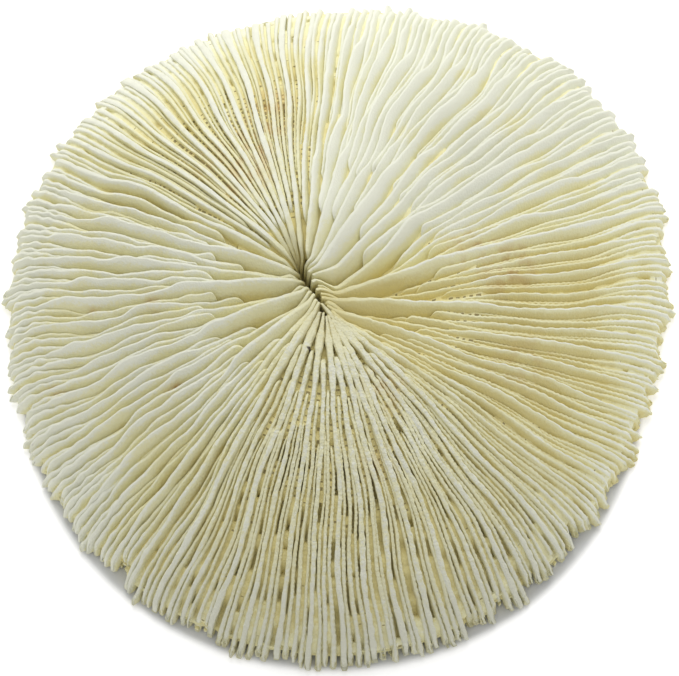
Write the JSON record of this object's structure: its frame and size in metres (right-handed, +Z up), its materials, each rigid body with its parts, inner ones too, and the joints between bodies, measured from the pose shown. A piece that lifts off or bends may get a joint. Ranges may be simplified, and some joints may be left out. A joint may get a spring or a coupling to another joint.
{
  "type": "mushroom coral skeleton",
  "caption": "Domed stony disc of a mushroom coral: upright radiating plates from a slit mouth to a toothed rim, flat ribbed underside with a plain scar.",
  "frame": {"origin": "middle of the footprint, on the surface that the skeleton lies on", "axes": "+Z up out of the mouth side; +Y along the longer way across the disc, away from the picture's camera; +X to that camera's right"},
  "size_m": [0.1162, 0.1254, 0.0233],
  "materials": {
    "coral_skeleton": "dry matt ivory skeleton, yellower between the plates"
  },
  "bodies": {
    "root": {"coral_skeleton": "coral_skeleton"}
  },
  "joints": []
}
